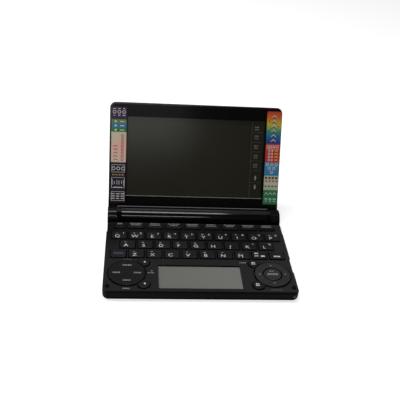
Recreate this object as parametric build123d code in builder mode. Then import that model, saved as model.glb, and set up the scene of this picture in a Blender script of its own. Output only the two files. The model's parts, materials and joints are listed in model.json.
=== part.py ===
# Pocket electronic dictionary: a clamshell case with a keyboard base and a screen lid.
#
# The base is drawn on its deck: X to the right, Y back from the front face, Z up from the deck.
# The lid is drawn flat on its hinge: X along the hinge pins, Y towards the lid's free edge,
# Z out of the screen.  At the end every piece is stood in the row's frame, where the unit rests
# on its feet, wedge shaped, with the lid open at its working angle.

import os
from math import atan2, cos, degrees, radians, sin, sqrt

from build123d import *

os.makedirs("parts", exist_ok=True)

# ---------------------------------------------------------------- driving dimensions (mm, degrees)

# Case
case_width = 148.0
case_height = 8.2              # flat underside to deck
case_corner_radius = 5.0       # front corners, seen from above
case_bottom_radius = 2.6       # rolled lower edge
deck_edge_radius = 1.0
parting_height = 3.0           # joint line of the two covers, above the underside
wall = 1.6
floor_thickness = 1.4
deck_thickness = 1.4
deck_depth = 85.4              # front face to the trough before the barrel
shoulder_length = 12.6         # rear part of the deck, where the sides step in
shoulder_step = 0.6
trough_depth = 3.6             # trough between deck and barrel, below the deck
trough_gap = 1.2               # deck to the lid's chin, in the closed unit

# Cells, battery barrel and hinge
cell_radius = 7.1
cell_length = 49.2
cell_nub_radius = 2.7
cell_nub_length = 1.3
cell_clearance = 0.6           # round a cell, in the barrel
contact_thickness = 0.4
contact_size = 9.0
contact_spring_length = 2.2
contact_gap = 0.1              # between a cell's nub and what it touches
barrel_wall = 1.2
barrel_end_wall = 4.3          # solid part between the cells' bore and a pin's seat
hinge_drop = 3.0               # hinge axis below the deck
barrel_flute_width = 2.6       # shallow flute along the barrel's front
barrel_flute_depth = 0.35
barrel_flute_angle = 53.0      # its height round the barrel, from level
belly_reach = 6.0              # flat belly under the barrel, forward of the axis
belly_run = 11.2               # where the belly's ramp meets the underside
knuckle_length = 7.8
knuckle_end_wall = 1.5         # closed end of the knuckle, past the pin
knuckle_end_gap = 0.25
knuckle_clearance = 0.4        # round the knuckle, in the base
pin_radius = 2.0
pin_running_clearance = 0.05
pin_seat_clearance = 0.03
pin_end_gap = 0.3
pin_chamfer = 0.3

# Battery door
door_end_gap = 0.2             # cells' bore past the door, each end
door_top_angle = 25.0          # upper edge, below level at the back
door_clearance = 0.15
door_grip_count = 3            # finger grooves at its back edge
door_grip_radius, door_grip_length = 0.35, 16.0
door_grip_start, door_grip_step = 12.0, 9.0    # degrees below the door's upper edge

# Feet and bumpers
front_foot_inset, front_foot_y = 14.0, 12.8
front_foot_radius = 4.0
front_foot_proud = 0.8
rear_foot_proud = 0.6
bumper_inset, bumper_y = 3.6, 6.3
bumper_radius = 1.5
bumper_gap = 0.2               # closed lid to bumper

# Touch panel between the pads, at the front of the deck
sub_window_depth = 26.4
sub_window_side = 6.6          # its sides to the small round keys
sub_window_x, sub_window_front = -0.4, 4.7
sub_window_corner = 0.8
sub_frame = 2.0                # panel hidden under the deck, at the front and sides
sub_frame_rear = 1.5

# Keys
side_margin = 4.78             # letter rows to the side of the case
key_gap = 2.16                 # between neighbours in a letter row
row_gap = 2.9                  # between letter rows
menu_row_gap = 5.5             # upper letter row to menu keys
key_corner = 0.7
key_height = 0.9               # above the deck
key_edge = 0.3
key_clearance = 0.2            # round a key, in the deck
key_travel = 0.5
flange_width = 0.6             # lip that holds the key under the deck
flange_thickness = 0.4
flange_gap = 0.2               # lip below the deck's underside
key_floor_gap = 0.1            # pressed key's lip to the silicone mat
menu_row_inset = 8.5           # menu keys' front edge from the trough
menu_key_depth = 3.8
menu_key_gap = 2.73
menu_first_inset, menu_last_inset = 24.1, 13.09        # from the sides of the case
power_key_inset, power_key_width = 10.8, 8.3
nib_length, nib_width, nib_height = 3.0, 0.5, 0.25

# Round pads at the two sides of the touch panel
pad_side_gap = 3.75            # pad to the side of the case
pad_y = 21.0
pad_radius = 14.05
pad_height = 0.75
pad_underside = 0.7            # below the deck
pad_clearance = 0.35
enter_key_radius = 6.8
enter_key_lip = 0.8
enter_key_clearance = 0.4      # in the ring's bore
side_key_from_pad = 12.7       # centres, along the deck's width
side_key_from_pad_y = 12.4
side_key_radius = 4.7
side_key_lip = 0.3
side_key_bite_gap = 0.5        # between a side key and the pad that cuts into its circle
gimbal_inner_radius, gimbal_outer_radius = 8.4, 10.2
gimbal_ridge_width = 1.0
gimbal_ridge_gap = 0.05
gimbal_tilt = 1.2              # each way
gimbal_play = 0.15             # left between ring, pad and mat at full tilt

# What lies under the deck
mat_thickness = 1.2
board_thickness = 1.0
sheet_corner_radius = 2.0      # of the mat and the board
board_margin = 0.9             # board to the inside of the walls
lattice_gap = 0.4              # round posts and modules
post_radius = 1.9
middle_post_gap, side_post_gap = 1.2, 2.0      # panel to the posts behind and beside it
front_post_y = 20.8
rear_post_inset = 3.6          # from the side and from the inside of the rear wall
screw_pilot_radius = 0.7
screw_hole_radius = 1.1
screw_head_radius, screw_head_depth = 2.1, 0.7
board_rests = ((-22.0, 48.0), (22.0, 48.0), (-22.0, 74.0), (22.0, 74.0))
board_rest_length, board_rest_width = 5.0, 1.2
processor_at, memories_at = (0.0, 60.0), ((34.0, 56.0), (34.0, 70.0))
processor_size, memory_size = 16.0, 11.0
chip_floor_gap, speaker_floor_gap, usb_floor_gap = 0.7, 0.4, 0.1
speaker_x, speaker_y, speaker_radius = -48.0, 58.0, 7.5
grille_slot_count, grille_slot_length, grille_slot_width = 4, 10.0, 1.1
grille_spacing = 2.5

# Sockets on the left side
jack_y, jack_radius = 34.0, 1.8
usb_y, usb_width, usb_height = 48.0, 7.7, 3.2
usb_corner_radius = 0.8
socket_gap = 0.1               # socket bodies to the inside of the side wall
jack_length, jack_width, jack_height = 11.0, 5.4, 3.8
jack_bore_radius, jack_bore_length = 1.75, 9.5
usb_block_length, usb_block_width = 7.0, 9.2

# Stylus in its silo along the right side
stylus_radius = 1.5
stylus_tip_length = 6.0
stylus_tip_radius = 0.5
stylus_chamfer = 0.3
stylus_recess = 0.4            # end of the stylus behind the front face
stylus_rear_room = 8.6         # its tip to the inside of the rear wall
stylus_wall_gap = 0.35
stylus_clearance = 0.15
stylus_stop_gap = 0.6
silo_rib = 0.9
notch_y, notch_length, notch_depth = 32.8, 17.0, 0.9
notch_sill = 0.6               # lower edge of the notch above the parting line
nail_groove_inset, nail_groove_width, nail_groove_depth = 2.0, 1.2, 0.35

# Lid
lid_inset = 0.2                # lid's sides behind those of the case
lid_gap = 1.3                  # closed lid above the deck
lid_thickness = 5.4
lid_corner_radius = 5.0
lid_back_radius = 2.2
lid_rim_radius = 0.7
lid_rim = 1.6
lid_skin = 1.2
lid_foot = 7.5                 # lid's lower edge from the hinge axis, along the lid
bezel_thickness = 1.5
bezel_clearance = 0.1
barrel_gap = 0.5               # lid to barrel
chin_thickness = 1.2
chin_tip = 1.8                 # the chin's tip, short of the hinge axis plane
chin_end_gap = 0.2             # chin to knuckle
bezel_side, bezel_top = 15.0, 11.9     # lid's edges to the window
window_from_hinge = 18.4
window_corner = 0.6
display_margin = 2.6
sill_gap = 1.8                 # solid foot of the lid to the display
lid_post_radius = 1.8
lid_post_inset_x, lid_post_inset_y = 6.8, 7.2          # from the lid's edges
lid_post_low_gap = 8.0         # lower posts above the solid foot
lid_post_mid_inset = 5.4
lid_angle = 116.0              # lid to deck in the photographed pose

# ---------------------------------------------------------------- worked out from the above

half_width = case_width / 2
deck_under = -deck_thickness
underside = -case_height
floor_top = underside + floor_thickness
parting_z = underside + parting_height
mid_z = (deck_under + floor_top) / 2   # middle of the room inside the case
inner_half = half_width - wall
inner_rear = deck_depth - wall
shoulder_y = deck_depth - shoulder_length

barrel_bore_radius = cell_radius + cell_clearance
barrel_radius = barrel_bore_radius + barrel_wall
barrel_bore_length = 2 * (cell_length + cell_nub_length + contact_gap
                          + contact_spring_length + contact_thickness)
door_length = barrel_bore_length - 2 * door_end_gap
door_inner_radius = barrel_bore_radius + 0.05
lid_width = case_width - 2 * lid_inset
knuckle_inner_x = lid_width / 2 - knuckle_length
barrel_half = knuckle_inner_x - knuckle_end_gap
pin_outer_x = lid_width / 2 - knuckle_end_wall
pin_inner_x = barrel_bore_length / 2 + barrel_end_wall
lid_barrel_radius = barrel_radius + barrel_gap
chin_radius = lid_barrel_radius + chin_thickness
hinge_y = deck_depth + trough_gap + chin_radius
hinge_z = -hinge_drop
hinge_plane = Plane(origin=(0, hinge_y, hinge_z), x_dir=(0, 1, 0), z_dir=(1, 0, 0))
rear_foot_x = (barrel_half + door_length / 2) / 2
rear_foot_radius = (barrel_half - door_length / 2) / 4
front_foot_x = half_width - front_foot_inset
bumper_x = half_width - bumper_inset
bumper_height = lid_gap - bumper_gap

flange_top = deck_under - flange_gap
mat_top = flange_top - flange_thickness - key_travel - key_floor_gap
mat_bottom = mat_top - mat_thickness
board_bottom = mat_bottom - board_thickness
under_board = board_bottom - floor_top
gimbal_dip = gimbal_outer_radius * sin(radians(gimbal_tilt)) + gimbal_play
gimbal_top = -pad_underside - gimbal_dip
gimbal_bottom = mat_top + gimbal_dip

pad_x = half_width - pad_side_gap - pad_radius
ring_bore_radius = enter_key_radius + enter_key_clearance
side_key_x = pad_x - side_key_from_pad

sub_window_width = 2 * (side_key_x - side_key_radius - key_clearance - sub_window_side)
sub_window_y = sub_window_front + sub_window_depth / 2
sub_window_rear = sub_window_front + sub_window_depth
module_width = sub_window_width + 2 * sub_frame
module_front, module_rear = sub_window_front - sub_frame, sub_window_rear + sub_frame_rear
middle_post_y = module_rear + middle_post_gap + post_radius
side_post_x = module_width / 2 + side_post_gap + post_radius
rear_post = (half_width - rear_post_inset, inner_rear - rear_post_inset)
screw_posts = ((-side_post_x, front_post_y), (side_post_x, front_post_y), (0.0, middle_post_y),
               (-rear_post[0], rear_post[1]), rear_post)

letter_rows = (
    ("shift", "z", "x", "c", "v", "b", "n", "m", "dash", "back"),
    ("a", "s", "d", "f", "g", "h", "j", "k", "l"),
    ("q", "w", "e", "r", "t", "y", "u", "i", "o", "p"),
)
key_pitch = (case_width - 2 * side_margin + key_gap) / len(letter_rows[0])
key_width = key_pitch - key_gap
menu_row_front = deck_depth - menu_row_inset
first_row_front = middle_post_y + post_radius + 2 * flange_width + lattice_gap
row_pitch = (menu_row_front - menu_row_gap + row_gap - first_row_front) / len(letter_rows)
key_depth = row_pitch - row_gap
menu_pitch = (case_width - menu_first_inset - menu_last_inset) / 7

stylus_x = inner_half - stylus_wall_gap - stylus_clearance - stylus_radius
stylus_length = inner_rear - stylus_rear_room - stylus_recess
silo_side = stylus_x - stylus_radius - stylus_clearance - silo_rib

lid_length = hinge_y
lid_inner = -(hinge_drop + lid_gap)
lid_outer = lid_inner - lid_thickness
lid_floor = lid_outer + lid_skin
bezel_back = lid_inner - bezel_thickness
window_width = lid_width - 2 * bezel_side
window_length = lid_length - bezel_top - window_from_hinge
lid_sill = window_from_hinge - display_margin - sill_gap
lid_post_x, lid_post_y = lid_width / 2 - lid_post_inset_x, lid_length - lid_post_inset_y
lid_posts = ((-lid_post_x, lid_sill + lid_post_low_gap), (lid_post_x, lid_sill + lid_post_low_gap),
             (-lid_post_x, lid_post_y), (lid_post_x, lid_post_y),
             (0.0, lid_length - lid_post_mid_inset))

# (name, x, y, width, depth) of every rectangular key
menu_y = menu_row_front + menu_key_depth / 2
rectangular_keys = [("key_power", power_key_inset - half_width, menu_y,
                     power_key_width, menu_key_depth)]
for i in range(8):
    rectangular_keys.append((f"key_menu_{i + 1}", menu_first_inset - half_width + i * menu_pitch,
                             menu_y, menu_pitch - menu_key_gap, menu_key_depth))
for row, legends in enumerate(letter_rows):
    for i, legend in enumerate(legends):
        key_x = (i - (len(legends) - 1) / 2) * key_pitch
        key_y = first_row_front + row * row_pitch + key_depth / 2
        rectangular_keys.append((f"key_{legend}", key_x, key_y, key_width, key_depth))

# (name, x, y, x of the pad beside it) of the small round keys
side_keys = [
    ("key_left_lower", -side_key_x, pad_y - side_key_from_pad_y, -pad_x),
    ("key_left_upper", -side_key_x, pad_y + side_key_from_pad_y, -pad_x),
    ("key_right_lower", side_key_x, pad_y - side_key_from_pad_y, pad_x),
    ("key_right_upper", side_key_x, pad_y + side_key_from_pad_y, pad_x),
]

pieces = []                    # (name, builder, where it stands), filled as the pieces are made


# ---------------------------------------------------------------- shared shapes

def case_slab(low, high, inset=0.0):
    """A slab of the case's plan, its front corners rounded, between two heights."""
    with BuildSketch(Plane.XY.offset(low)) as plan:
        with Locations((0, deck_depth / 2)):
            Rectangle(case_width - 2 * inset, deck_depth - 2 * inset)
        fillet(plan.vertices().group_by(Axis.Y)[0], case_corner_radius - inset)
    extrude(plan.sketch, amount=high - low, mode=Mode.SUBTRACT if inset else Mode.ADD)


def cut_shoulders(length):
    """Step both sides in behind the shoulder line."""
    for side in (-1, 1):
        with Locations((side * half_width, shoulder_y + length / 2, underside / 2)):
            Box(2 * shoulder_step, length, 2 * case_height, mode=Mode.SUBTRACT)


def cut_side_openings():
    """Stylus mouth at the front, jack and data sockets at the left, in either cover."""
    with BuildSketch(Plane.XZ.offset(-2 * wall)) as mouth:
        with Locations((stylus_x, mid_z)):
            Circle(stylus_radius + stylus_clearance)
    extrude(mouth.sketch, amount=4 * wall, mode=Mode.SUBTRACT)
    with BuildSketch(Plane.YZ.offset(-half_width - wall)) as sockets:
        with Locations((jack_y, mid_z)):
            Circle(jack_radius)
        with Locations((usb_y, mid_z)):
            RectangleRounded(usb_width, usb_height, usb_corner_radius)
    extrude(sockets.sketch, amount=3 * wall, mode=Mode.SUBTRACT)


def under_deck_sheet(low, high, holes_for_display):
    """A sheet under the deck: inside the walls, left of the silo, clear of posts and sockets."""
    left, right = -inner_half + board_margin, silo_side - board_margin
    front, rear = wall + board_margin, inner_rear - board_margin
    with BuildSketch(Plane.XY.offset(low)) as sheet:
        with Locations(((left + right) / 2, (front + rear) / 2)):
            RectangleRounded(right - left, rear - front, sheet_corner_radius)
        with Locations(*screw_posts):
            RegularPolygon(post_radius + lattice_gap, 8, major_radius=False, mode=Mode.SUBTRACT)
        with Locations((left + jack_length / 2 - board_margin, jack_y)):
            Rectangle(jack_length + lattice_gap, jack_width + lattice_gap, mode=Mode.SUBTRACT)
        if holes_for_display:
            with Locations((sub_window_x, (module_front + module_rear) / 2)):
                Rectangle(module_width + 2 * lattice_gap,
                          module_rear - module_front + 2 * lattice_gap, mode=Mode.SUBTRACT)
    extrude(sheet.sketch, amount=high - low)


def barrel_section(radius):
    """Barrel seen along the hinge: a circle with a flat belly that ramps up to the underside."""
    ramp_foot = underside - hinge_z
    Circle(radius)
    Polygon((0, 0), (-belly_run, 0), (-belly_run, ramp_foot), (-belly_reach, -radius),
            (0, -radius), align=None)


# ---------------------------------------------------------------- base: lower cover and barrel

with BuildPart() as base_bottom_cover:
    case_slab(underside, parting_z)
    lower_edges = base_bottom_cover.edges().group_by(Axis.Z)[0]
    fillet(lower_edges.group_by(Axis.Y)[:-1], min(case_bottom_radius, parting_height - 0.2))
    case_slab(floor_top, parting_z, inset=wall)
    # trough floor behind the deck
    with Locations((0, (deck_depth + hinge_y) / 2, underside)):
        Box(case_width, hinge_y - deck_depth, case_height - trough_depth,
            align=(Align.CENTER, Align.CENTER, Align.MIN))
    cut_shoulders(2 * (hinge_y - shoulder_y))
    for side in (-1, 1):
        with Locations((side * half_width, hinge_y, hinge_z)):
            Cylinder(barrel_radius + knuckle_clearance,
                     2 * (half_width - barrel_half), rotation=(0, 90, 0),
                     mode=Mode.SUBTRACT)
    with BuildSketch(hinge_plane):
        barrel_section(barrel_radius)
    extrude(amount=barrel_half, both=True)
    # cell bore, door opening and pin holes
    with Locations((0, hinge_y, hinge_z)):
        Cylinder(barrel_bore_radius, barrel_bore_length, rotation=(0, 90, 0), mode=Mode.SUBTRACT)
    with BuildSketch(hinge_plane):
        open_y = cos(radians(door_top_angle - 1))
        open_z = -sin(radians(door_top_angle - 1))
        inside, outside = barrel_bore_radius - 0.7, barrel_radius + 2
        front_y = -belly_reach - door_clearance
        Polygon((inside * open_y, inside * open_z), (outside * open_y, outside * open_z),
                (outside * open_y, -outside), (front_y, -outside),
                (front_y, -sqrt(inside ** 2 - front_y ** 2)), align=None)
    extrude(amount=door_length / 2 + door_clearance, both=True, mode=Mode.SUBTRACT)
    for side in (-1, 1):
        with Locations((side * barrel_half, hinge_y, hinge_z)):
            Cylinder(pin_radius + pin_seat_clearance,
                     2 * (barrel_half - pin_inner_x), rotation=(0, 90, 0),
                     mode=Mode.SUBTRACT)
    # shallow flute that runs along the barrel's front
    with BuildSketch(hinge_plane):
        flute_angle = 180 - barrel_flute_angle
        with Locations((barrel_radius * cos(radians(flute_angle)),
                        barrel_radius * sin(radians(flute_angle)))):
            Rectangle(2 * barrel_flute_depth, barrel_flute_width, rotation=flute_angle)
    extrude(amount=barrel_half, both=True, mode=Mode.SUBTRACT)
    # board rests, silo rib and its end stop
    with BuildSketch(Plane.XY.offset(floor_top)):
        with Locations(*board_rests):
            Rectangle(board_rest_length, board_rest_width)
    extrude(amount=board_bottom - floor_top)
    rib_end = stylus_recess + stylus_length + stylus_stop_gap + silo_rib
    with Locations((silo_side + silo_rib / 2, (wall + rib_end) / 2, floor_top)):
        Box(silo_rib, rib_end - wall, mid_z + stylus_radius / 2 - floor_top,
            align=(Align.CENTER, Align.CENTER, Align.MIN))
    with Locations(((silo_side + inner_half) / 2, rib_end - silo_rib / 2, floor_top)):
        Box(inner_half - silo_side, silo_rib, parting_z - floor_top,
            align=(Align.CENTER, Align.CENTER, Align.MIN))
    # screw holes, speaker grille, sockets and stylus mouth
    with BuildSketch(Plane.XY.offset(underside)):
        with Locations(*screw_posts):
            Circle(screw_head_radius)
    extrude(amount=screw_head_depth, mode=Mode.SUBTRACT)
    with BuildSketch(Plane.XY.offset(underside)):
        with Locations(*screw_posts):
            Circle(screw_hole_radius)
        with Locations((speaker_x, speaker_y)):
            with GridLocations(0, grille_spacing, 1, grille_slot_count):
                Rectangle(grille_slot_length, grille_slot_width)
    extrude(amount=floor_thickness, mode=Mode.SUBTRACT)
    cut_side_openings()
pieces.append(("base_bottom_cover", base_bottom_cover, "base"))

# ---------------------------------------------------------------- base: deck

with BuildPart() as base_top_cover:
    case_slab(parting_z, 0)
    rim_edges = base_top_cover.edges().group_by(Axis.Z)[-1]
    fillet(rim_edges.group_by(Axis.Y)[:-1], deck_edge_radius)
    case_slab(parting_z, deck_under, inset=wall)
    cut_shoulders(deck_depth - shoulder_y)
    with BuildSketch(Plane.XY.offset(deck_under)):
        with Locations(*screw_posts):
            Circle(post_radius)
    extrude(amount=floor_top - deck_under)
    with BuildSketch(Plane.XY.offset(floor_top)):
        with Locations(*screw_posts):
            Circle(screw_pilot_radius)
    extrude(amount=deck_under - floor_top, mode=Mode.SUBTRACT)
    # windows for the keys, the pads and the sub display
    with BuildSketch(Plane.XY):
        for _, key_x, key_y, width, depth in rectangular_keys:
            with Locations((key_x, key_y)):
                Rectangle(width + 2 * key_clearance, depth + 2 * key_clearance)
        for _, key_x, key_y, _ in side_keys:
            with Locations((key_x, key_y)):
                Circle(side_key_radius + key_clearance)
        with Locations((-pad_x, pad_y), (pad_x, pad_y)):
            Circle(pad_radius + pad_clearance)
        with Locations((sub_window_x, sub_window_y)):
            RectangleRounded(sub_window_width, sub_window_depth, sub_window_corner)
    extrude(amount=-deck_thickness, mode=Mode.SUBTRACT)
    # nail notch in the right edge, over the stylus
    with Locations((half_width, notch_y, 0)):
        Box(2 * notch_depth, notch_length, 2 * (-parting_z - notch_sill), mode=Mode.SUBTRACT)
    cut_side_openings()
pieces.append(("base_top_cover", base_top_cover, "base"))

# ---------------------------------------------------------------- base: what the case holds

with BuildPart() as key_mat:
    under_deck_sheet(mat_bottom, mat_top, holes_for_display=True)
pieces.append(("key_mat", key_mat, "base"))

with BuildPart() as main_board:
    under_deck_sheet(board_bottom, mat_bottom, holes_for_display=False)
    # chips and speaker on the underside
    with BuildSketch(Plane.XY.offset(board_bottom)):
        with Locations(processor_at):
            Rectangle(processor_size, processor_size)
        with Locations(*memories_at):
            Rectangle(memory_size, memory_size)
    extrude(amount=chip_floor_gap - under_board)
    with BuildSketch(Plane.XY.offset(board_bottom)):
        with Locations((speaker_x, speaker_y)):
            Circle(speaker_radius)
    extrude(amount=speaker_floor_gap - under_board)
    # sockets at the left edge
    socket_face = -inner_half + socket_gap
    with Locations((socket_face, jack_y, mid_z)):
        Box(jack_length, jack_width, jack_height, align=(Align.MIN, Align.CENTER, Align.CENTER))
        Cylinder(jack_bore_radius, 2 * jack_bore_length, rotation=(0, 90, 0), mode=Mode.SUBTRACT)
    with Locations((socket_face, usb_y, board_bottom)):
        Box(usb_block_length, usb_block_width, under_board - usb_floor_gap,
            align=(Align.MIN, Align.CENTER, Align.MAX))
    # contact plates at the two ends of the cell bore
    for side in (-1, 1):
        plate_x = side * (barrel_bore_length - contact_thickness) / 2
        with Locations((plate_x, hinge_y, hinge_z)):
            Box(contact_thickness, contact_size, contact_size)
        spring_x = plate_x - side * (contact_thickness + contact_spring_length) / 2
        with Locations((spring_x, hinge_y, hinge_z)):
            Cylinder(cell_nub_radius, contact_spring_length, rotation=(0, 90, 0))
pieces.append(("main_board", main_board, "base"))

with BuildPart() as sub_display:
    with BuildSketch(Plane.XY.offset(mat_bottom)):
        with Locations((sub_window_x, (module_front + module_rear) / 2)):
            Rectangle(module_width, module_rear - module_front)
    extrude(amount=deck_under - mat_bottom)
pieces.append(("sub_display", sub_display, "base"))

with BuildPart() as batteries:
    for middle in (-1, 1):
        cell_start = (middle - 1) / 2 * (cell_length + cell_nub_length)
        with BuildSketch(hinge_plane.offset(cell_start)):
            Circle(cell_radius)
        extrude(amount=cell_length)
        with BuildSketch(hinge_plane.offset(cell_start + cell_length)):
            Circle(cell_nub_radius)
        extrude(amount=cell_nub_length - contact_gap)
pieces.append(("batteries", batteries, "base"))

with BuildPart() as hinge_pins:
    for side in (-1, 1):
        with Locations((side * (pin_inner_x + pin_outer_x) / 2, hinge_y, hinge_z)):
            Cylinder(pin_radius, pin_outer_x - pin_inner_x, rotation=(0, 90, 0))
    chamfer(hinge_pins.edges().filter_by(GeomType.CIRCLE), pin_chamfer)
pieces.append(("hinge_pins", hinge_pins, "base"))

# ---------------------------------------------------------------- base: feet and bumpers

front_foot_z = underside - front_foot_proud
rear_foot_z = hinge_z - barrel_radius - rear_foot_proud
stance_tilt = degrees(atan2(front_foot_z - rear_foot_z, hinge_y - front_foot_y))
desk = Plane(origin=(0, front_foot_y, front_foot_z), x_dir=(1, 0, 0),
             z_dir=(0, sin(radians(stance_tilt)), cos(radians(stance_tilt))))

with BuildPart() as rubber_feet:
    with BuildSketch(Plane.XY.offset(underside)):
        with Locations((-front_foot_x, front_foot_y), (front_foot_x, front_foot_y)):
            Circle(front_foot_radius)
    extrude(amount=-2 * front_foot_proud)
    with BuildSketch(Plane.XY.offset(rear_foot_z - rear_foot_proud)):
        with Locations((-rear_foot_x, hinge_y), (rear_foot_x, hinge_y)):
            Circle(rear_foot_radius)
    extrude(amount=3 * rear_foot_proud + 1)
    with BuildSketch(hinge_plane):
        barrel_section(barrel_radius)
    extrude(amount=barrel_half, both=True, mode=Mode.SUBTRACT)
    split(bisect_by=desk, keep=Keep.TOP)
    with BuildSketch(Plane.XY):
        with Locations((-bumper_x, bumper_y), (bumper_x, bumper_y)):
            Circle(bumper_radius)
    extrude(amount=bumper_height)
pieces.append(("rubber_feet", rubber_feet, "base"))

# ---------------------------------------------------------------- battery door and stylus

with BuildPart() as battery_cover:
    with BuildSketch(hinge_plane):
        top_y, top_z = cos(radians(door_top_angle)), -sin(radians(door_top_angle))
        with BuildLine():
            CenterArc((0, 0), barrel_radius, -90, 90 - door_top_angle)
            Line((barrel_radius * top_y, barrel_radius * top_z),
                 (door_inner_radius * top_y, door_inner_radius * top_z))
            CenterArc((0, 0), door_inner_radius, -door_top_angle, door_top_angle - 90)
            Polyline((0, -door_inner_radius), (-belly_reach, -door_inner_radius),
                     (-belly_reach, -barrel_radius), (0, -barrel_radius))
        make_face()
    extrude(amount=door_length / 2, both=True)
    # finger grooves at the back
    with BuildSketch(hinge_plane):
        for i in range(door_grip_count):
            groove = radians(-door_top_angle - door_grip_start - door_grip_step * i)
            with Locations((barrel_radius * cos(groove), barrel_radius * sin(groove))):
                Circle(door_grip_radius)
    extrude(amount=door_grip_length / 2, both=True, mode=Mode.SUBTRACT)
pieces.append(("battery_cover", battery_cover, "base"))

with BuildPart() as stylus:
    tip_y = stylus_recess + stylus_length
    with BuildSketch(Plane(origin=(stylus_x, 0, mid_z), z_dir=(1, 0, 0),
                           x_dir=(0, 1, 0))):
        with BuildLine():
            Polyline((stylus_recess, 0), (stylus_recess, stylus_radius - stylus_chamfer),
                     (stylus_recess + stylus_chamfer, stylus_radius),
                     (tip_y - stylus_tip_length, stylus_radius),
                     (tip_y, stylus_tip_radius), (tip_y, 0), close=True)
        make_face()
    revolve(axis=Axis((stylus_x, 0, mid_z), (0, 1, 0)))
    # nail groove that shows through the notch
    with Locations((stylus_x + stylus_radius, notch_y, mid_z)):
        Box(2 * nail_groove_depth, notch_length - 2 * nail_groove_inset, nail_groove_width,
            mode=Mode.SUBTRACT)
pieces.append(("stylus", stylus, "base"))


# ---------------------------------------------------------------- keys

def rectangular_key(x, y, width, depth, has_nib):
    """A key cap with bevelled top edges and the lip that holds it under the deck."""
    with BuildPart() as key:
        with BuildSketch(Plane.XY.offset(flange_top)) as cap:
            with Locations((x, y)):
                Rectangle(width, depth)
            chamfer(cap.vertices(), key_corner)
        extrude(amount=key_height - flange_top)
        chamfer(key.edges().group_by(Axis.Z)[-1], key_edge)
        with BuildSketch(Plane.XY.offset(flange_top)):
            with Locations((x, y)):
                Rectangle(width + 2 * flange_width, depth + 2 * flange_width)
        extrude(amount=-flange_thickness)
        if has_nib:
            with Locations((x, y - depth / 4, key_height)):
                Box(nib_length, nib_width, 2 * nib_height)
    return key


def round_key(x, y, radius, lip, bite_x=None):
    """A round key with a lip; a pad beside it may bite a crescent out of its circle."""
    with BuildPart() as key:
        for outline, low, high in ((radius, flange_top, key_height),
                                   (radius + lip, flange_top - flange_thickness, flange_top)):
            with BuildSketch(Plane.XY.offset(low)):
                with Locations((x, y)):
                    Circle(outline)
                if bite_x is not None:
                    with Locations((bite_x, pad_y)):
                        Circle(pad_radius + side_key_bite_gap, mode=Mode.SUBTRACT)
            extrude(amount=high - low)
        chamfer(key.edges().group_by(Axis.Z)[-1], key_edge)
    return key


def pad(x, bore_radius):
    """A round rocker pad, with a bore where a key stands in its middle."""
    with BuildPart() as disc:
        with BuildSketch(Plane.XY.offset(-pad_underside)):
            with Locations((x, pad_y)):
                Circle(pad_radius)
                if bore_radius:
                    Circle(bore_radius, mode=Mode.SUBTRACT)
        extrude(amount=pad_height + pad_underside)
        chamfer(disc.edges().group_by(Axis.Z)[-1], key_edge)
    return disc


def gimbal(x):
    """The ring that a pad rocks on: ridges below along X, and above along Y."""
    middle = (gimbal_inner_radius + gimbal_outer_radius) / 2
    width = gimbal_outer_radius - gimbal_inner_radius
    ridge_height = gimbal_dip - gimbal_ridge_gap
    with BuildPart() as ring:
        with BuildSketch(Plane.XY.offset(gimbal_bottom)):
            with Locations((x, pad_y)):
                Circle(gimbal_outer_radius)
                Circle(gimbal_inner_radius, mode=Mode.SUBTRACT)
        extrude(amount=gimbal_top - gimbal_bottom)
        with BuildSketch(Plane.XY.offset(gimbal_bottom)):
            with Locations((x - middle, pad_y), (x + middle, pad_y)):
                Rectangle(width / 2, gimbal_ridge_width)
        extrude(amount=-ridge_height)
        with BuildSketch(Plane.XY.offset(gimbal_top)):
            with Locations((x, pad_y - middle), (x, pad_y + middle)):
                Rectangle(gimbal_ridge_width, width / 2)
        extrude(amount=ridge_height)
    return ring


for name, key_x, key_y, width, depth in rectangular_keys:
    key = rectangular_key(key_x, key_y, width, depth, name in ("key_f", "key_j"))
    pieces.append((name, key, "base"))
for name, key_x, key_y, beside in side_keys:
    pieces.append((name, round_key(key_x, key_y, side_key_radius, side_key_lip, beside), "base"))
pieces.append(("key_enter", round_key(pad_x, pad_y, enter_key_radius, enter_key_lip), "base"))
pieces.append(("left_pad", pad(-pad_x, 0), "base"))
pieces.append(("left_pad_gimbal", gimbal(-pad_x), "base"))
pieces.append(("cursor_ring", pad(pad_x, ring_bore_radius), "base"))
pieces.append(("cursor_gimbal", gimbal(pad_x), "base"))

# ---------------------------------------------------------------- lid: back cover with knuckles

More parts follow.
